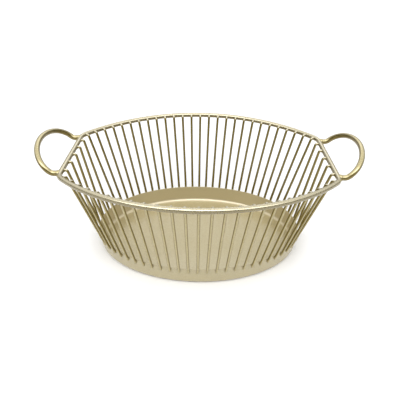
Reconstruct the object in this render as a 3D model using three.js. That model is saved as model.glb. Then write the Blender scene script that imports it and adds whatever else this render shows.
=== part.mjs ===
// A laundry basket of welded steel wire: an oval rim rod, upright ribs, a shallow oval pan and two handles.
// Millimetres, +Z up, +X along the length. The origin is under the middle of the pan, where it stands.
import * as THREE from "three";

// Rim rod: sizes run between the rod's centre lines. The height is that of the straight ends, and the middle
// of each long side stands higher by the crown.
const RIM_LENGTH = 380;
const RIM_DEPTH = 300;
const RIM_HEIGHT = 150;
const RIM_CROWN = 5;
const RIM_ROD = 7.5;
const RIM_END_STRAIGHT = 115;
const RIM_CORNER_RADIUS = 22;

// Base pan: outside sizes of the oval, its wall and its sheet
const PAN_LENGTH = 321;
const PAN_DEPTH = 226;
const PAN_HEIGHT = 29;
const PAN_FLARE = 2;
const PAN_FILLET = 8;
const PAN_SHEET = 1;

// Ribs: wire, how many stand on each side, the bent leg to the rim and the lap on the pan. The ribs of a long
// side take the given share of half the way round, on the rim and on the pan alike.
const RIB_WIRE = 4;
const BACK_RIBS = 27;
const FRONT_RIBS = 25;
const END_RIBS = 5;
const RIB_LEG = 0.4;
const RIB_BEND = 3;
const RIB_LAP = 7;
const LONG_SIDE_SHARE = 0.74;

// Handles: rod, straight stub out of the rim, and the raised loop
const HANDLE_ROD = 8;
const HANDLE_STUB = 8;
const HANDLE_REACH = 38;
const HANDLE_RISE_ANGLE = 42;
const HANDLE_BEND = 10;

// Gap left at every weld, so that the pieces stay separate
const WELD_GAP = 0.3;

// How finely the round shapes are cut into flats
const ROD_SIDES = 10;
const RIB_SIDES = 8;
const LONG_SIDE_STEPS = 24;
const CORNER_STEPS = 4;
const BEND_STEPS = 2;
const HANDLE_LOOP_STEPS = 20;
const PAN_SEGMENTS = 80;
const FILLET_STEPS = 4;

// Champagne gold lacquer
const GOLD = 0xcbbd98;
const ROD_ROUGHNESS = 0.35;
const SHEET_ROUGHNESS = 0.45;
const METALNESS = 0.75;

const UP = new THREE.Vector3(0, 0, 1);
const rodRadius = RIM_ROD / 2;
const ribRadius = RIB_WIRE / 2;
const ribCount = BACK_RIBS + FRONT_RIBS + 2 * END_RIBS;

// A path through chosen stations, so that a section of the rod stands at each one.
class StationPath extends THREE.Curve {
  constructor(stations, closed) {
    super();
    this.closed = closed;
    this.stations = closed ? [...stations, stations[0]] : stations;
  }

  getPoint(t) {
    const last = this.stations.length - 1;
    const share = this.closed ? t - Math.floor(t) : THREE.MathUtils.clamp(t, 0, 1);
    const index = Math.min(Math.floor(share * last), last - 1);
    return this.stations[index].clone().lerp(this.stations[index + 1], share * last - index);
  }

  getPointAt(t) {
    return this.getPoint(t);
  }

  getTangentAt(t) {
    const half = 0.5 / (this.stations.length - 1);
    return this.getPoint(t + half).sub(this.getPoint(t - half)).normalize();
  }
}

// A round rod along the stations, with flat ends.
function rod(stations, radius, sides) {
  const corners = [];
  for (let i = 0; i < sides; i += 1) {
    const turn = (2 * Math.PI * i) / sides;
    corners.push(new THREE.Vector2(radius * Math.cos(turn), radius * Math.sin(turn)));
  }
  const extrudePath = new StationPath(stations, false);
  return new THREE.ExtrudeGeometry(new THREE.Shape(corners), { steps: stations.length - 1, extrudePath });
}

// Stations round a bend at a corner, between the straight runs from and to.
function bend(from, corner, to, radius) {
  const back = from.clone().sub(corner).normalize();
  const ahead = to.clone().sub(corner).normalize();
  const setback = radius / Math.tan(back.angleTo(ahead) / 2);
  const start = corner.clone().addScaledVector(back, setback);
  const end = corner.clone().addScaledVector(ahead, setback);
  return new THREE.QuadraticBezierCurve3(start, corner, end).getPoints(BEND_STEPS);
}

// Rim plan: each long side is one arc, each corner a smaller arc that touches it, and each end is straight.
// Seen from the front, the long sides and the corners crown upwards.
const rimX = RIM_LENGTH / 2;
const rimY = RIM_DEPTH / 2;
const cornerX = rimX - RIM_CORNER_RADIUS;
const cornerY = RIM_END_STRAIGHT / 2;
const sideRise = rimY - cornerY;
const sideRadius =
  (cornerX ** 2 + sideRise ** 2 - RIM_CORNER_RADIUS ** 2) / (2 * (sideRise - RIM_CORNER_RADIUS));
const sideCentreY = rimY - sideRadius;
const sideTurn = Math.atan2(cornerX, cornerY - sideCentreY);
const sidePath = sideRadius * sideTurn;
const cornerPath = RIM_CORNER_RADIUS * (Math.PI / 2 - sideTurn);
const quarterPath = sidePath + cornerPath + cornerY;

// Place on the rim and the way it faces out, at a distance along it from the middle of the back side.
// Distances run to the middle of the front side by way of the right end.
function rimAt(distance) {
  if (distance > quarterPath) {
    const { place, out } = rimAt(2 * quarterPath - distance);
    return { place: place.setY(-place.y), out: out.setY(-out.y) };
  }
  if (distance > sidePath + cornerPath) {
    const place = new THREE.Vector3(rimX, quarterPath - distance, RIM_HEIGHT);
    return { place, out: new THREE.Vector3(1, 0, 0) };
  }
  const onSide = distance <= sidePath;
  const turn = onSide ? distance / sideRadius : sideTurn + (distance - sidePath) / RIM_CORNER_RADIUS;
  const out = new THREE.Vector3(Math.sin(turn), Math.cos(turn), 0);
  const place = onSide
    ? new THREE.Vector3(0, sideCentreY, RIM_HEIGHT).addScaledVector(out, sideRadius)
    : new THREE.Vector3(cornerX, cornerY, RIM_HEIGHT).addScaledVector(out, RIM_CORNER_RADIUS);
  place.z += RIM_CROWN * (1 - (place.x / rimX) ** 2);
  return { place, out };
}

// The rim: one rod closed into a ring.
function rimRing() {
  const quarter = [];
  for (let i = 0; i < LONG_SIDE_STEPS / 2; i += 1) {
    quarter.push((2 * sidePath * i) / LONG_SIDE_STEPS);
  }
  for (let i = 0; i <= CORNER_STEPS; i += 1) {
    quarter.push(sidePath + (cornerPath * i) / CORNER_STEPS);
  }
  const right = [...quarter, quarterPath];
  for (const distance of [...quarter].reverse()) {
    right.push(2 * quarterPath - distance);
  }
  const rightStations = right.map((distance) => rimAt(distance).place);
  const leftStations = rightStations.slice(1, -1).reverse().map((place) => place.clone().setX(-place.x));
  const stations = [...rightStations, ...leftStations];
  return new THREE.TubeGeometry(new StationPath(stations, true), stations.length, rodRadius, ROD_SIDES, true);
}

// The base pan: a round drawn dish pulled apart along X into an oval, so that the sheet keeps its thickness.
function basePan() {
  const lean = Math.atan2(PAN_FLARE, PAN_HEIGHT);
  const upWall = new THREE.Vector2(Math.sin(lean), Math.cos(lean));
  const intoPan = new THREE.Vector2(-upWall.y, upWall.x);
  const outerTop = new THREE.Vector2(PAN_DEPTH / 2, PAN_HEIGHT);
  const innerTop = outerTop.clone().setX(outerTop.x - PAN_SHEET / Math.cos(lean));
  // The fillet's centre lies one radius inside the wall and one radius above the floor.
  const beside = outerTop.clone().addScaledVector(intoPan, PAN_FILLET);
  const centre = beside.clone().addScaledVector(upWall, (PAN_FILLET - beside.y) / upWall.y);
  const fillet = (radius) => {
    const points = [];
    for (let i = 0; i <= FILLET_STEPS; i += 1) {
      const turn = (Math.PI / 2 - lean) * (i / FILLET_STEPS) - Math.PI / 2;
      points.push(new THREE.Vector2(Math.cos(turn), Math.sin(turn)).multiplyScalar(radius).add(centre));
    }
    return points;
  };
  const profile = [
    new THREE.Vector2(0, 0),
    ...fillet(PAN_FILLET),
    outerTop,
    innerTop,
    ...fillet(PAN_FILLET - PAN_SHEET).reverse(),
    new THREE.Vector2(0, PAN_SHEET),
  ];
  const dish = new THREE.LatheGeometry(profile, PAN_SEGMENTS).rotateX(Math.PI / 2);
  const places = dish.getAttribute("position");
  for (let i = 0; i < places.count; i += 1) {
    const turn = (2 * Math.PI * Math.floor(i / profile.length)) / PAN_SEGMENTS;
    places.setX(i, places.getX(i) + ((PAN_LENGTH - PAN_DEPTH) / 2) * Math.sin(turn));
  }
  return dish;
}

// The oval of the ribs' axes at the pan's top edge, from the back by the right end to the front.
const ovalX = PAN_LENGTH / 2 + ribRadius + WELD_GAP;
const ovalY = PAN_DEPTH / 2 + ribRadius + WELD_GAP;
const oval = new THREE.EllipseCurve(0, 0, ovalX, ovalY, Math.PI / 2, -Math.PI / 2, true);

// How far along half the rim, and along half the oval, a rib stands, counted from the middle of the back side.
// Ribs are even along the back, along each end and along the front.
function ribShare(number) {
  const backSteps = (BACK_RIBS - 1) / 2;
  const endSteps = END_RIBS + 1;
  const frontSteps = (FRONT_RIBS - 1) / 2;
  const side = LONG_SIDE_SHARE / 2;
  if (number <= backSteps) {
    return (side * number) / backSteps;
  }
  if (number <= backSteps + endSteps) {
    return side + ((1 - 2 * side) * (number - backSteps)) / endSteps;
  }
  return 1 - (side * (ribCount / 2 - number)) / frontSteps;
}

// The corners of a rib's axis: its butt at the rim, its bend, the pan's edge, and its foot on the pan's wall.
// Ribs are numbered from the middle of the back side round by the right end.
function ribCorners(number) {
  const onRight = number <= ribCount / 2;
  const share = ribShare(onRight ? number : ribCount - number);
  const { place, out } = rimAt(2 * quarterPath * share);
  const butt = place.clone().addScaledVector(out, -(rodRadius + WELD_GAP));
  const top = place.clone().addScaledVector(out, -(rodRadius + RIB_LEG + RIB_BEND));
  const beside = oval.getPointAt(share);
  const edge = new THREE.Vector3(beside.x, beside.y, PAN_HEIGHT);
  const awayFromPan = new THREE.Vector3(beside.x / ovalX ** 2, beside.y / ovalY ** 2, 0).normalize();
  const upWall = awayFromPan.multiplyScalar(PAN_FLARE).addScaledVector(UP, PAN_HEIGHT).normalize();
  const foot = edge.clone().addScaledVector(upWall, -RIB_LAP);
  const corners = [butt, top, edge, foot];
  return onRight ? corners : corners.map((corner) => corner.setX(-corner.x));
}

// Two neighbouring ribs bent from one wire, joined by a short run along the pan's wall.
function ribPair(first) {
  const [buttA, topA, edgeA, footA] = ribCorners(first);
  const [buttB, topB, edgeB, footB] = ribCorners(first + 1);
  const footBetween = ribCorners(first + 0.5).at(-1);
  const stations = [
    buttA,
    ...bend(buttA, topA, edgeA, RIB_BEND),
    edgeA,
    ...bend(edgeA, footA, footBetween, RIB_BEND),
    footBetween,
    ...bend(footBetween, footB, edgeB, RIB_BEND),
    edgeB,
    ...bend(edgeB, topB, buttB, RIB_BEND),
    buttB,
  ];
  return rod(stations, ribRadius, RIB_SIDES);
}

// The right handle: a stub straight out of each end corner of the rim, and a half oval in a raised plane.
function handleLoop() {
  const rise = THREE.MathUtils.degToRad(HANDLE_RISE_ANGLE);
  const raised = new THREE.Vector3(Math.cos(rise), 0, Math.sin(rise));
  const start = new THREE.Vector3(rimX + rodRadius + WELD_GAP, cornerY, RIM_HEIGHT);
  const knee = start.clone().setX(rimX + rodRadius + HANDLE_STUB);
  const setback = HANDLE_BEND * Math.tan(rise / 2);
  const loop = [];
  for (let i = 1; i < HANDLE_LOOP_STEPS; i += 1) {
    const turn = (Math.PI * i) / HANDLE_LOOP_STEPS;
    const reach = setback + (HANDLE_REACH - setback) * Math.sin(turn);
    loop.push(knee.clone().addScaledVector(raised, reach).setY(cornerY * Math.cos(turn)));
  }
  const leg = [start, ...bend(start, knee, knee.clone().add(raised), HANDLE_BEND)];
  const otherLeg = [...leg].reverse().map((place) => place.clone().setY(-place.y));
  return rod([...leg, ...loop, ...otherLeg], HANDLE_ROD / 2, ROD_SIDES);
}

const basket = new THREE.Group();
basket.name = "laundry_basket";

function addPiece(name, geometry, roughness) {
  const material = new THREE.MeshStandardMaterial({ color: GOLD, roughness, metalness: METALNESS });
  const mesh = new THREE.Mesh(geometry, material);
  mesh.name = name;
  basket.add(mesh);
  return mesh;
}

addPiece("rim_ring", rimRing(), ROD_ROUGHNESS);
addPiece("base_pan", basePan(), SHEET_ROUGHNESS);
addPiece("handle_right", handleLoop(), ROD_ROUGHNESS);
addPiece("handle_left", handleLoop(), ROD_ROUGHNESS).rotation.z = Math.PI;
for (let first = 0; first < ribCount; first += 2) {
  const pair = String(first / 2 + 1).padStart(2, "0");
  addPiece(`rib_pair_${pair}`, ribPair(first), ROD_ROUGHNESS);
}

export default basket;
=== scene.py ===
# %% [markdown]
# # A laundry basket of welded wire
# The real basket is an oval ring of steel rod, a shallow pan drawn from steel sheet, and straight wires
# that stand between them. Two rod loops at the ends are the handles. Everything is welded, and then the
# whole basket is sprayed in one champagne-gold metallic lacquer.
#
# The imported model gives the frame: where each piece is and how big it is. This lesson puts a fine
# surface on each piece and gives it the lacquer, then sets up the floor, the light and the camera.

import bpy
import numpy as np
from mathutils import Euler, Matrix


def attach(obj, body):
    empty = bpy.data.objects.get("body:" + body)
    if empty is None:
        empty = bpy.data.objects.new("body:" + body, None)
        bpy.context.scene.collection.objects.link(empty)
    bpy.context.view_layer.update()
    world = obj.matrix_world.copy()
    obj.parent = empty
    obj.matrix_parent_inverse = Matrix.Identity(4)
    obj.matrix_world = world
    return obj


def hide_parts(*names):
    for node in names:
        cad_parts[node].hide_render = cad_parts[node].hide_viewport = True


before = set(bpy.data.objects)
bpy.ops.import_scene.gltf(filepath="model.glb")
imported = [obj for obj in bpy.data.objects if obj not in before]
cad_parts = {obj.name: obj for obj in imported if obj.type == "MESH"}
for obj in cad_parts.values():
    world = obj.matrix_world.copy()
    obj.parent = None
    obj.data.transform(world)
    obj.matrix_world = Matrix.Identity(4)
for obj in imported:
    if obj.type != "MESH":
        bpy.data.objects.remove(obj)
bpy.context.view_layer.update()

# %% [markdown]
# ## Sizes
# All sizes are the model's own, in metres. The rim's plan is two long arcs, four small corner arcs that
# touch them, and two straight ends. The radius of the long arcs follows from the other sizes: an arc
# that passes through the middle of the long side and touches the corner arc can have only one radius.
# Seen from the front, the rim isn't quite level: the middle of each long side stands higher than the
# ends by the crown.

# %% Sizes of the rim, the pan, the ribs and the handles
MM = 0.001

# Rim: half its length and width and its height, on the rod's centre line, then the radius of the rod.
RIM_X, RIM_Y, RIM_Z = 190 * MM, 150 * MM, 150 * MM
ROD = 3.75 * MM
CROWN = 5 * MM
END_HALF, CORNER = 57.5 * MM, 22 * MM

# Pan: half its length and width at the top edge and its height, then the shape of its wall.
PAN_X, PAN_Y, PAN_Z = 160.5 * MM, 113 * MM, 29 * MM
FLARE, FILLET, SHEET = 2 * MM, 8 * MM, 1 * MM

# Ribs: the wire's radius, how many stand on each side, the share of the rim that the long sides take, then
# the leg at the rim, the bend below it and the foot's lap on the pan's wall.
WIRE = 2 * MM
BACK_RIBS, FRONT_RIBS, END_RIBS = 27, 25, 5
SIDE_SHARE = 0.74
LEG, BEND, LAP = 0.4 * MM, 3 * MM, 7 * MM

# Handles: the rod's radius, the stub at the rim, the loop's reach and slope, and the bend between them.
HANDLE_ROD = 4 * MM
STUB, REACH, RISE, KNEE = 8 * MM, 38 * MM, np.radians(42), 10 * MM

rise_of_side = RIM_Y - END_HALF
SIDE_RADIUS = ((RIM_X - CORNER) ** 2 + rise_of_side**2 - CORNER**2) / (2 * (rise_of_side - CORNER))
print(f"radius of the long sides: {SIDE_RADIUS / MM:.1f} mm")

# %% [markdown]
# ## From a grid of points to a piece
# Every piece here is a grid: rows run along the piece and columns run round it. One function turns such
# a grid into a mesh. It joins each point to its neighbours with index arithmetic on whole arrays, so
# there is no loop over points. A rod is the simplest grid: a circle carried along a path.


# %% Grid to mesh
def grid_faces(rows, columns, rows_closed):
    """Quads between neighbouring rows and columns. Columns close on themselves, rows only if asked."""
    row = np.arange(rows if rows_closed else rows - 1)[:, None]
    column = np.arange(columns)[None, :]
    beside = (column + 1) % columns
    here, ahead = row * columns, (row + 1) % rows * columns
    corners = [here + column, here + beside, ahead + beside, ahead + column]
    return np.stack(np.broadcast_arrays(*corners), axis=-1).reshape(-1, 4)


def piece_from_grid(name, grid, rows_closed=False):
    """A smooth mesh object from grid[row, column]. Open rows are closed with one flat face at each end."""
    rows, columns = grid.shape[:2]
    faces = grid_faces(rows, columns, rows_closed).tolist()
    if not rows_closed:
        faces.append(np.arange(columns)[::-1].tolist())
        faces.append((np.arange(columns) + (rows - 1) * columns).tolist())
    mesh = bpy.data.meshes.new(name)
    mesh.from_pydata(grid.reshape(-1, 3).tolist(), [], faces)
    mesh.polygons.foreach_set("use_smooth", np.ones(len(mesh.polygons), dtype=bool))
    piece = bpy.data.objects.new(name, mesh)
    bpy.context.scene.collection.objects.link(piece)
    return piece


# %% Paths and round rods
BEND_ROWS = 9


def unit(vectors):
    """Vectors of length one in the same directions."""
    return vectors / np.linalg.norm(vectors, axis=-1, keepdims=True)


def between(start, end, shares):
    """Points at shares of the way from start to end."""
    return start + np.asarray(shares)[:, None] * (end - start)


def rounded_corner(start, corner, end):
    """The curve (1-t)^2 start + 2 t (1-t) corner + t^2 end, for t from 0 to 1."""
    t = np.linspace(0, 1, BEND_ROWS)[:, None]
    return (1 - t) ** 2 * start + 2 * t * (1 - t) * corner + t**2 * end


def rod_grid(path, radius, flat_of_bend, sides, closed=False):
    """Point = path + radius (cos a * across + sin a * above), for the angle a round the rod.

    above is the part of flat_of_bend that is square to the path, and across = above x along."""
    if closed:
        along = unit(np.roll(path, -1, axis=0) - np.roll(path, 1, axis=0))
    else:
        along = unit(np.gradient(path, axis=0))
    flat = np.broadcast_to(flat_of_bend, path.shape)
    above = unit(flat - (flat * along).sum(-1, keepdims=True) * along)
    across = np.cross(above, along)
    angle = np.linspace(0, 2 * np.pi, sides, endpoint=False)[None, :, None]
    radius = np.broadcast_to(radius, len(path))[:, None, None]
    return path[:, None] + radius * (np.cos(angle) * across[:, None] + np.sin(angle) * above[:, None])


def bead(distance, width, height, ripple, waves):
    """How much a weld bead thickens a rod: 1 + height e^(-s^2) (1 + ripple cos(waves s)).

    s is the distance from the bead's middle, in widths of the bead."""
    s = distance / width
    return 1 + height * np.exp(-(s**2)) * (1 + ripple * np.cos(waves * s))


# %% [markdown]
# ## The rim
# On the real basket the rim is one rod, bent to an oval and butt-welded into a ring. One function gives
# the place on the rim at a distance from the middle of the back, and the direction in which the rim
# faces out there. The ribs use the same function to find their places. The butt weld at the front is a
# slight swelling: the rod's radius grows by a bell curve there, and the path has extra rows to carry
# it.


# %% The rim's path
side_turn = np.arctan2(RIM_X - CORNER, END_HALF - RIM_Y + SIDE_RADIUS)
side_path = SIDE_RADIUS * side_turn
corner_path = CORNER * (np.pi / 2 - side_turn)
quarter = side_path + corner_path + END_HALF


def rim_at(distance):
    """Place and outward direction at distances along the rim, from the middle of the back by the right end.

    Each quarter is an arc of SIDE_RADIUS, an arc of CORNER and a straight. The others are mirror images.
    The height is RIM_Z + CROWN (1 - (x / RIM_X)^2)."""
    laps = np.floor(distance / quarter)
    left_over = distance - laps * quarter
    turn_no = laps.astype(int) % 4
    along = np.where(turn_no % 2 == 0, left_over, quarter - left_over)
    turn = np.minimum(along, side_path) / SIDE_RADIUS + np.clip(along - side_path, 0, corner_path) / CORNER
    out = np.stack([np.sin(turn), np.cos(turn), np.zeros_like(turn)], axis=-1)
    side = np.array([0, RIM_Y - SIDE_RADIUS, RIM_Z]) + SIDE_RADIUS * out
    bend = np.array([RIM_X - CORNER, END_HALF, RIM_Z]) + CORNER * out
    place = np.where((along <= side_path)[:, None], side, bend)
    place[:, 1] -= np.maximum(along - side_path - corner_path, 0)
    place[:, 2] += CROWN * (1 - (place[:, 0] / RIM_X) ** 2)
    to_right = np.where(turn_no < 2, 1, -1)
    to_back = np.where((turn_no == 1) | (turn_no == 2), -1, 1)
    mirror = np.stack([to_right, to_back], axis=-1)
    place[:, :2] *= mirror
    out[:, :2] *= mirror
    return place, out


# %% The rim's rod
RIM_ROWS, RIM_SIDES = 480, 32
# The butt weld's distance from the middle of the front, and the extra rows on both sides of it.
WELD_ASIDE, WELD_HALF, WELD_ROWS = 6 * MM, 7 * MM, 29
BUTT_WELD = {"width": 1.6 * MM, "height": 0.07, "ripple": 0.4, "waves": 2.5}
UP = (0, 0, 1)

weld_at = 2 * quarter + WELD_ASIDE
even_rows = np.linspace(0, 4 * quarter, RIM_ROWS, endpoint=False)
weld_rows = weld_at + np.linspace(-WELD_HALF, WELD_HALF, WELD_ROWS)
stations = np.sort(np.concatenate([even_rows, weld_rows]))
rim_path, _ = rim_at(stations)
rim_radius = ROD * bead(stations - weld_at, **BUTT_WELD)
rim_grid = rod_grid(rim_path, rim_radius, UP, RIM_SIDES, closed=True)
rim = piece_from_grid("rim_rod", rim_grid, rows_closed=True)
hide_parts("rim_ring")
print(f"rim: {4 * quarter / MM:.0f} mm of rod round the ring")

# %% [markdown]
# ## The pan
# The pan is a dish drawn from 1 mm sheet. Its plan is an oval. A round dish stretched sideways would
# have a thicker wall at the ends, so each level of the wall is an ellipse whose two half-axes shrink by
# the same amount: the profile says how far in and how high, and the ellipse does the rest. The floor is
# rings of the last ellipse, smaller and smaller towards the middle, where one small flat face closes
# it.


# %% The pan's profile and its surface
FILLET_ROWS, LIP_ROWS, WALL_ROWS, FLOOR_RINGS, PAN_SEGMENTS = 14, 9, 8, 24, 256
SMALLEST_RING = 0.03


def pan_profile():
    """Inset from the top edge and height, once round the sheet's section.

    It runs from the floor outside to the floor inside. The wall leans by FLARE over PAN_Z. The fillet is
    an arc of FILLET outside and FILLET - SHEET inside, and the lip is half a circle."""
    lean = np.arctan2(FLARE, PAN_Z)
    up_wall = np.array([-np.sin(lean), np.cos(lean)])
    into_pan = np.array([np.cos(lean), np.sin(lean)])
    beside = np.array([0, PAN_Z]) + FILLET * into_pan
    centre = beside + up_wall * (FILLET - beside[1]) / up_wall[1]
    turn = np.linspace(-np.pi / 2, -lean, FILLET_ROWS)[:, None]
    arc = np.hstack([-np.cos(turn), np.sin(turn)])
    lip_turn = np.linspace(-lean, np.pi - lean, LIP_ROWS)[:, None]
    lip_centre = np.array([0, PAN_Z - SHEET / 2]) + SHEET / 2 * into_pan
    lip = lip_centre + SHEET / 2 * np.hstack([-np.cos(lip_turn), np.sin(lip_turn)])
    outer, inner = centre + FILLET * arc, centre + (FILLET - SHEET) * arc
    shares = np.linspace(0, 1, WALL_ROWS + 2)[1:-1]
    outer_wall = between(outer[-1], lip[0], shares)
    inner_wall = between(lip[-1], inner[-1], shares)
    return np.vstack([outer, outer_wall, lip, inner_wall, inner[::-1]])


def oval_grid(profile, segments):
    """Point = ((PAN_X - inset) cos t, (PAN_Y - inset) sin t, height), row by row of the profile.

    Each floor ring is the first or the last row with x and y times a share that falls to SMALLEST_RING."""
    t = np.linspace(0, 2 * np.pi, segments, endpoint=False)[None, :]
    inset, height = profile[:, :1], np.broadcast_to(profile[:, 1:], (len(profile), segments))
    wall = np.stack([(PAN_X - inset) * np.cos(t), (PAN_Y - inset) * np.sin(t), height], axis=-1)
    share = np.linspace(1, SMALLEST_RING, FLOOR_RINGS + 1)[1:, None, None]
    rings = np.concatenate([share, share, np.ones_like(share)], axis=-1)
    return np.concatenate([(rings * wall[0])[::-1], wall, rings * wall[-1]])


pan = piece_from_grid("drawn_pan", oval_grid(pan_profile(), PAN_SEGMENTS))
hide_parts("base_pan")
print("pan:", len(pan.data.vertices), "points")

# %% [markdown]
# ## The ribs
# Each rib is a straight wire. Its top is bent outwards and butts on the inside of the rim, and its foot
# lies on the outside of the pan's wall. Spot welding presses the hot foot a little way into the sheet,
# so the foot goes on almost straight and tapers off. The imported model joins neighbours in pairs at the
# foot; the real wires end by themselves, so each gets a piece of its own here.


# %% Where the ribs stand
EDGE_POINTS = 2001


def ellipse_at(share, a, b):
    """Angle from the middle of the back, by the right, at which a share of half the edge has passed."""
    t = np.linspace(0, np.pi, EDGE_POINTS)
    step = np.hypot(a * np.cos(t), b * np.sin(t))
    passed = np.concatenate([[0], np.cumsum((step[1:] + step[:-1]) / 2)])
    return np.interp(share * passed[-1], passed, t)


def rib_share(number):
    """Share of half the rim, and of half the pan, at which a rib stands.

    The ribs are evenly spaced along the back, along the ends and along the front."""
    back, front = (BACK_RIBS - 1) // 2, (FRONT_RIBS - 1) // 2
    known = np.cumsum([0, back, END_RIBS + 1, front])
    return np.interp(number, known, [0, SIDE_SHARE / 2, 1 - SIDE_SHARE / 2, 1])


RIBS = BACK_RIBS + FRONT_RIBS + 2 * END_RIBS
number = np.arange(RIBS)
on_right = number <= RIBS // 2
share = rib_share(np.where(on_right, number, RIBS - number))
rim_place, rim_out = rim_at(2 * quarter * share)
oval_x, oval_y = PAN_X + WIRE, PAN_Y + WIRE
oval_turn = ellipse_at(share, oval_x, oval_y)
sine, cosine = np.sin(oval_turn), np.cos(oval_turn)
pan_place = np.stack([oval_x * sine, oval_y * cosine, np.full(RIBS, PAN_Z)], axis=-1)
pan_out = unit(np.stack([sine / oval_x, cosine / oval_y, np.zeros(RIBS)], axis=-1))
to_side = np.stack([np.where(on_right, 1, -1), np.ones(RIBS), np.ones(RIBS)], axis=-1)
rim_place, rim_out, pan_place, pan_out = (v * to_side for v in (rim_place, rim_out, pan_place, pan_out))
print("ribs:", RIBS)

# %% One rib after another
LEG_ROWS, RUN_ROWS, RIB_SIDES = 3, 8, 14
# A rib ends inside the rim's rod, BUTT_AT from the rod's centre line, and its foot is pressed in by SET_IN.
BUTT_AT, SET_IN, SETTLE = 0.93 * ROD, 1.1 * MM, 0.7
# BUTT_FLARE and TOE_TAPER are the thickness of the first and the last rows, as shares of the wire's.
BUTT_FLARE = (1.4, 1.18, 1.04)
TOE_AT, TOE_TAPER = (0.6, 0.9, 1.0), (0.92, 0.72, 0.45)


def rib_path(butt, corner, edge, foot):
    """The rib's axis: a short leg, a bend, a straight run, a slight bend at the pan's edge, and the foot.

    The slight bend takes up SETTLE times LAP above the edge, and SETTLE times the foot below it."""
    back, ahead = unit(butt - corner), unit(edge - corner)
    setback = BEND / np.tan(np.arccos(np.clip(back @ ahead, -1, 1)) / 2)
    start, end = corner + back * setback, corner + ahead * setback
    onto, off = edge - ahead * SETTLE * LAP, edge + SETTLE * (foot - edge)
    leg = between(butt, start, np.linspace(0, 1, LEG_ROWS + 1)[:-1])
    run = between(end, onto, np.linspace(0, 1, RUN_ROWS + 2)[1:-1])
    bend, settle = rounded_corner(start, corner, end), rounded_corner(onto, edge, off)
    return np.vstack([leg, bend, run, settle, between(off, foot, TOE_AT)])


up_wall = unit(pan_out * FLARE + np.array([0, 0, PAN_Z]))
ribs = []
for k in range(RIBS):
    butt = rim_place[k] - rim_out[k] * BUTT_AT
    corner = rim_place[k] - rim_out[k] * (ROD + LEG + BEND)
    foot = pan_place[k] - up_wall[k] * LAP - pan_out[k] * SET_IN
    path = rib_path(butt, corner, pan_place[k], foot)
    thickness = np.full(len(path), WIRE)
    thickness[: len(BUTT_FLARE)] *= BUTT_FLARE
    thickness[-len(TOE_TAPER) :] *= TOE_TAPER
    sideways = np.cross(rim_out[k], UP)
    rib = piece_from_grid(f"rib_{k + 1:02d}", rod_grid(path, thickness, sideways, RIB_SIDES))
    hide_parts(f"rib_pair_{k // 2 + 1:02d}")
    ribs.append(rib)
print("rib wire:", len(ribs[0].data.vertices), "points each")

# %% [markdown]
# ## The handles
# Each handle is a loop of rod a little thicker than the rim. Two short stubs leave the rim's end
# corners, bend upwards, and meet in a half oval, so that fingers pass between the loop and the rim.
# Where a stub meets the rim, a weld bead runs round it: the rod flares out towards the rim by a bell
# curve, a little unevenly, as a bead does. The left handle is the right one turned by half a turn.


# %% The handles' path and rods
STUB_ROWS, LOOP_ROWS, HANDLE_SIDES = 24, 91, 28
STUB_WELD = {"width": 1.9 * MM, "height": 0.16, "ripple": 0.12, "waves": 4}
BEAD_AT = 0.85 * ROD


def handle_path():
    """Stub along X, a bend, and (knee + reach sin t along the raised direction, END_HALF cos t across)."""
    raised = np.array([np.cos(RISE), 0, np.sin(RISE)])
    start = np.array([RIM_X, END_HALF, RIM_Z])
    knee = np.array([RIM_X + ROD + STUB, END_HALF, RIM_Z])
    setback = KNEE * np.tan(RISE / 2)
    begin, end = knee - (setback, 0, 0), knee + setback * raised
    stub = between(start, begin, np.linspace(0, 1, STUB_ROWS + 1)[:-1])
    leg = np.vstack([stub, rounded_corner(begin, knee, end)[:-1]])
    turn = np.linspace(0, np.pi, LOOP_ROWS)[:, None]
    loop = knee * (1, 0, 1) + (setback + (REACH - setback) * np.sin(turn)) * raised
    loop = loop + END_HALF * np.cos(turn) * np.array([0, 1, 0])
    return np.vstack([leg, loop, leg[::-1] * (1, -1, 1)])


handle_axis = handle_path()
flat_of_handle = (-np.sin(RISE), 0, np.cos(RISE))
from_bead = np.maximum(handle_axis[:, 0] - RIM_X - BEAD_AT, 0)
handle_radius = HANDLE_ROD * bead(from_bead, **STUB_WELD)
right_grid = rod_grid(handle_axis, handle_radius, flat_of_handle, HANDLE_SIDES)
handles = [
    piece_from_grid("handle_rod_right", right_grid),
    piece_from_grid("handle_rod_left", right_grid * (-1, -1, 1)),
]
for handle, node in zip(handles, ("handle_right", "handle_left")):
    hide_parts(node)
print("handles:", [h.name for h in handles])

# %% [markdown]
# ## The lacquer
# The whole basket has one finish: a champagne lacquer with fine metal flake, sprayed on and
# clear-coated. To the eye that is a satin metal of a warm beige, with whitish highlights from the clear
# coat, a faint sandy grain from the flake and a slight orange peel from the spray. A Principled shader
# with part metal and middling roughness gives the satin, and its coat the whitish gloss. Noise gives
# the grain and the orange peel.
#
# Light and shade are partly painted into the colour: faces turned away from a lit direction get another
# tone.
# The rim and the handles are lit from above in this paint, so their undersides get painted shade, a browner
# tone. The wires are lit from outside, so their inner faces get painted shade; faces that look up, such as
# their bent tops, get a painted highlight, and the painted shade is left off round their feet. The pan is
# lit from outside and a little from below. Only its inner wall and the bend under it face far enough away,
# and there painted light makes the tone paler.


# %% Colour and node helpers
def linear(hex_colour):
    """An sRGB hex colour as linear RGBA."""
    srgb = np.array([int(hex_colour[i : i + 2], 16) for i in (1, 3, 5)]) / 255
    rgb = np.where(srgb <= 0.04045, srgb / 12.92, ((srgb + 0.055) / 1.055) ** 2.4)
    return (*rgb.tolist(), 1.0)


def add_node(tree, kind, settings=(), inputs=(), links=()):
    """Adds a node, sets its own settings and its input values, and links (input, source node, output)."""
    node = tree.nodes.new(kind)
    for name, value in dict(settings).items():
        setattr(node, name, value)
    for name, value in dict(inputs).items():
        node.inputs[name].default_value = value
    for name, source, output in links:
        tree.links.new(source.outputs[output], node.inputs[name])
    return node


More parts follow.
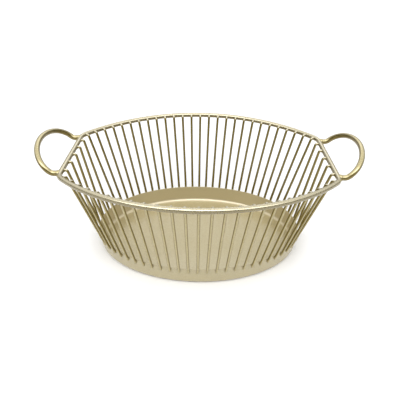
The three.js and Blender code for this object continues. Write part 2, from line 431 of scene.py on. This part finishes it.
def vector_math(tree, operation, links, inputs=()):
    """A vector node, by its operation."""
    return add_node(tree, "ShaderNodeVectorMath", {"operation": operation}, inputs, links)


def smooth_step(tree, start, end, source, output):
    """A node that rises from 0 to 1 in an S curve while the source goes from start to end."""
    return add_node(
        tree,
        "ShaderNodeMapRange",
        settings={"interpolation_type": "SMOOTHSTEP"},
        inputs={"From Min": start, "From Max": end},
        links=[("Value", source, output)],
    )


def noise(tree, where, size_mm, **inputs):
    """Noise with features of about size_mm, fixed to the object."""
    return add_node(
        tree,
        "ShaderNodeTexNoise",
        inputs={"Scale": 1 / (size_mm * MM), **inputs},
        links=[("Vector", where, "Object")],
    )


# %% The lacquer's colour
COLOUR_MIX = {"data_type": "RGBA"}
# Places of a colour mix's sockets, because their names repeat.
MIX_A, MIX_B, MIX_RESULT = 6, 7, 2
FLAKE_MM = 1.6
GRAIN_START, GRAIN_END = 0.3, 0.7
# Painted highlight: faces whose normal's height passes between these values get a paler tone.
HIGHLIGHT_START, HIGHLIGHT_END = 0.45, 0.85
# How far up the lit direction of the painted shade lies for each unit outwards.
FROM_ABOVE, FROM_OUTSIDE, FROM_BELOW = 20.0, 0.3, -0.5


def painted_shading_mask(tree, where, lit_side_rise, painted_to_plain, no_shade_below):
    """Mask for painted shade and painted light: 0 gives the painted tone, 1 the plain one.

    It rises from 0 to 1 while (normal . lit direction) goes across the given range, where lit direction =
    unit(out + rise up) and out = unit(x / RIM_X^2, y / RIM_Y^2, 0). Below the given foot height, over LAP
    from there down, it rises to 1 on all faces, so no painted tone falls there."""
    # Painted shade on rods and wires, painted light on the pan: faces turned away from the lit direction
    # get the painted tone.
    scaled = vector_math(tree, "MULTIPLY", [(0, where, "Object")], {1: (RIM_X**-2, RIM_Y**-2, 0.0)})
    out = vector_math(tree, "NORMALIZE", [(0, scaled, "Vector")])
    raised = vector_math(tree, "ADD", [(0, out, "Vector")], {1: (0.0, 0.0, lit_side_rise)})
    lit_direction = vector_math(tree, "NORMALIZE", [(0, raised, "Vector")])
    facing = vector_math(tree, "DOT_PRODUCT", [(0, lit_direction, "Vector"), (1, where, "Normal")])
    plain_share = smooth_step(tree, *painted_to_plain, facing, "Value")
    if not no_shade_below:
        return plain_share
    # The painted shade is left off the ribs' feet: below the given height every face gets the plain tone.
    place = add_node(tree, "ShaderNodeSeparateXYZ", links=[("Vector", where, "Object")])
    shade_free_share = smooth_step(tree, no_shade_below, no_shade_below - LAP, place, "Z")
    return add_node(
        tree,
        "ShaderNodeMix",
        inputs={"B": 1.0},
        links=[("Factor", shade_free_share, "Result"), ("A", plain_share, "Result")],
    )


def lacquer_colour(tree, where, tones, plain_share):
    """A colour node: tones are light and dark, mixed by the flake, then the painted tone, then a painted
    highlight if there is one.

    The painted tone shows where the mask is 0: painted shade on rods and wires, painted light on the pan.
    The painted highlight is a paler tone on faces that look up. Real flake is some 0.05 mm across. It is
    drawn as coarse as it has to be to show as grain."""
    light, dark, painted_tone, *top = (linear(tone) for tone in tones)
    flake = noise(tree, where, FLAKE_MM, Detail=3.0, Roughness=0.7)
    grain = add_node(
        tree,
        "ShaderNodeMapRange",
        inputs={"From Min": GRAIN_START, "From Max": GRAIN_END},
        links=[("Value", flake, "Fac")],
    )
    full = add_node(
        tree,
        "ShaderNodeMix",
        settings=COLOUR_MIX,
        inputs={MIX_A: dark, MIX_B: light},
        links=[("Factor", grain, "Result")],
    )
    # The painted tone, painted shade or on the pan painted light, goes where the mask is 0.
    colour = add_node(
        tree,
        "ShaderNodeMix",
        settings=COLOUR_MIX,
        inputs={MIX_A: painted_tone},
        links=[("Factor", plain_share, "Result"), (MIX_B, full, MIX_RESULT)],
    )
    if not top:
        return colour
    # Painted highlight: a paler tone on faces that look up.
    normal = add_node(tree, "ShaderNodeSeparateXYZ", links=[("Vector", where, "Normal")])
    painted_highlight_share = smooth_step(tree, HIGHLIGHT_START, HIGHLIGHT_END, normal, "Z")
    return add_node(
        tree,
        "ShaderNodeMix",
        settings=COLOUR_MIX,
        inputs={MIX_B: top[0]},
        links=[("Factor", painted_highlight_share, "Result"), (MIX_A, colour, MIX_RESULT)],
    )


# %% Champagne lacquer on steel
COAT_WEIGHT = 0.8
GLOSS_SPREAD, PEEL_STRENGTH = 0.06, 0.5


def champagne_lacquer(
    name,
    tones,
    lit_side_rise,
    painted_to_plain,
    metallic,
    roughness,
    coat,
    peel_mm,
    peel_depth_mm,
    no_shade_below=None,
):
    """Sprayed metallic lacquer with orange peel, which bends the surface and varies its gloss.

    tones go to the colour; the rise, the range and the foot height go to the mask of painted shade and
    painted light. coat is the clear coat's roughness and refractive index."""
    material = bpy.data.materials.new(name)
    material.use_nodes = True
    tree = material.node_tree
    tree.nodes.clear()
    where = add_node(tree, "ShaderNodeTexCoord")
    plain_share = painted_shading_mask(tree, where, lit_side_rise, painted_to_plain, no_shade_below)
    colour = lacquer_colour(tree, where, tones, plain_share)
    peel = noise(tree, where, peel_mm, Detail=2.0)
    gloss = add_node(
        tree,
        "ShaderNodeMapRange",
        inputs={"To Min": roughness - GLOSS_SPREAD, "To Max": roughness + GLOSS_SPREAD},
        links=[("Value", peel, "Fac")],
    )
    bump = add_node(
        tree,
        "ShaderNodeBump",
        inputs={"Strength": PEEL_STRENGTH, "Distance": peel_depth_mm * MM},
        links=[("Height", peel, "Fac")],
    )
    coat_roughness, coat_index = coat
    shader = add_node(
        tree,
        "ShaderNodeBsdfPrincipled",
        inputs={
            "Metallic": metallic,
            "Coat Weight": COAT_WEIGHT,
            "Coat Roughness": coat_roughness,
            "Coat IOR": coat_index,
        },
        links=[
            ("Base Color", colour, MIX_RESULT),
            ("Roughness", gloss, "Result"),
            ("Normal", bump, "Normal"),
        ],
    )
    add_node(tree, "ShaderNodeOutputMaterial", links=[("Surface", shader, "BSDF")])
    return material


# Third tone: painted shade, browner, on the rod's undersides.
rim_lacquer = champagne_lacquer(
    "champagne_lacquer_on_rim_rod",
    tones=("#d8cead", "#bbaf86", "#776831"),
    lit_side_rise=FROM_ABOVE,
    painted_to_plain=(0.15, 0.75),
    metallic=0.75,
    roughness=0.28,
    coat=(0.12, 2.2),
    peel_mm=2.2,
    peel_depth_mm=0.06,
)
# Third tone: painted shade, browner, on the handle's undersides.
handle_lacquer = champagne_lacquer(
    "champagne_lacquer_on_handle_rod",
    tones=("#dccfa4", "#beaf74", "#77661f"),
    lit_side_rise=FROM_ABOVE,
    painted_to_plain=(0.3, 0.85),
    metallic=0.8,
    roughness=0.3,
    coat=(0.15, 1.7),
    peel_mm=2.2,
    peel_depth_mm=0.06,
)
# Painted shade: all the wire's tones are darker than the rim's, for the darker look of thin wire. Its third
# tone is painted shade on inner faces, its fourth a painted highlight on faces that look up.
wire_lacquer = champagne_lacquer(
    "champagne_lacquer_on_wire",
    tones=("#bcb084", "#9f915f", "#806f26", "#ddd5ba"),
    lit_side_rise=FROM_OUTSIDE,
    painted_to_plain=(0.4, 0.82),
    metallic=0.8,
    roughness=0.34,
    coat=(0.15, 1.7),
    peel_mm=2.0,
    peel_depth_mm=0.03,
    no_shade_below=PAN_Z + WIRE,
)
# Third tone: painted light, paler, on the pan's inner wall and the bend under it.
sheet_lacquer = champagne_lacquer(
    "champagne_lacquer_on_sheet",
    tones=("#b9ad83", "#ab9d71", "#c9bb93"),
    lit_side_rise=FROM_BELOW,
    painted_to_plain=(-0.88, -0.5),
    metallic=0.4,
    roughness=0.42,
    coat=(0.22, 2.1),
    peel_mm=2.6,
    peel_depth_mm=0.05,
)
finishes = [(rim, rim_lacquer), (pan, sheet_lacquer)]
finishes += [(handle, handle_lacquer) for handle in handles] + [(rib, wire_lacquer) for rib in ribs]
for piece, material in finishes:
    piece.data.materials.append(material)
    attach(piece, "root")
print("lacquers:", sorted({material.name for _, material in finishes}))

# %% [markdown]
# ## Floor, light and camera
# The basket stands on a plain white floor. The sky is a pale studio dome that is bright overhead and
# dims towards the horizon, so that rods and wires get dark sides and show up against the white. A long
# softbox, high and to the front, adds the bright line along the rim and a faint shadow under the pan.
# Three soft lamps side by side stand for it, the middle one the strongest. A weak softbox behind the
# basket whitens the tops of the rim's ends. The camera looks down at the basket from the front.

# %% Floor
FLOOR_HALF = 12.0
floor_corners = np.array([[-1, -1, 0], [1, -1, 0], [1, 1, 0], [-1, 1, 0]]) * FLOOR_HALF
floor_mesh = bpy.data.meshes.new("floor")
floor_mesh.from_pydata(floor_corners.tolist(), [], [(0, 1, 2, 3)])
floor = bpy.data.objects.new("floor", floor_mesh)
bpy.context.scene.collection.objects.link(floor)
white = bpy.data.materials.new("matt_white_floor")
white.use_nodes = True
white_shader = white.node_tree.nodes["Principled BSDF"]
white_shader.inputs["Base Color"].default_value = linear("#fdfdfd")
white_shader.inputs["Roughness"].default_value = 0.9
white_shader.inputs["Specular IOR Level"].default_value = 0.0
floor_mesh.materials.append(white)

# %% Sky and lamps
SKY, HORIZON = 0.98, 0.06
SKY_AXIS = (0.0, 0.1, 1.0)
DIM_BELOW, FULL_ABOVE = 0.15, 0.75
world = bpy.data.worlds.new("pale_studio")
bpy.context.scene.world = world
world.use_nodes = True
tree = world.node_tree
background = tree.nodes["Background"]
direction = add_node(tree, "ShaderNodeTexCoord")
height = vector_math(tree, "DOT_PRODUCT", [(0, direction, "Generated")], {1: SKY_AXIS})
strength = smooth_step(tree, DIM_BELOW, FULL_ABOVE, height, "Value")
strength.inputs["To Min"].default_value = HORIZON
strength.inputs["To Max"].default_value = SKY
tree.links.new(strength.outputs["Result"], background.inputs["Strength"])
background.inputs["Color"].default_value = linear("#ffffff")

# Each lamp's strength, and its turns from pointing straight down, in degrees.
SOFTBOXES = {
    "front_softbox_left": (0.62, (30, -36, 0)),
    "front_softbox_middle": (0.85, (30, 0, 0)),
    "front_softbox_right": (0.5, (30, 36, 0)),
    "back_softbox": (0.16, (-57, 0, 0)),
}
SOFTBOX_ANGLE = np.radians(34)
for name, (energy, tilt) in SOFTBOXES.items():
    lamp = bpy.data.lights.new(name, "SUN")
    lamp.energy = energy
    lamp.angle = SOFTBOX_ANGLE
    lamp_object = bpy.data.objects.new(name, lamp)
    lamp_object.rotation_euler = np.radians(tilt)
    bpy.context.scene.collection.objects.link(lamp_object)
print("floor and light are in place")

# %% Camera
PICTURE, FOCAL, SENSOR = 400, 420.5, 36.0
CAMERA_AT = (0.0, -0.5565, 0.4357)
LOOK_DOWN, LOOK_ASIDE, ROLL = np.radians((33.11, -0.17, 1.0))
camera_data = bpy.data.cameras.new("camera")
camera_data.sensor_width = SENSOR
camera_data.lens = SENSOR * FOCAL / PICTURE
camera = bpy.data.objects.new("camera", camera_data)
turn = Euler((np.pi / 2 - LOOK_DOWN, 0, LOOK_ASIDE)).to_matrix() @ Matrix.Rotation(ROLL, 3, "Z")
camera.matrix_world = Matrix.Translation(CAMERA_AT) @ turn.to_4x4()
bpy.context.scene.collection.objects.link(camera)
bpy.context.scene.camera = camera
bpy.context.scene.view_settings.view_transform = "Standard"
print("camera lens:", round(camera_data.lens, 2), "mm")
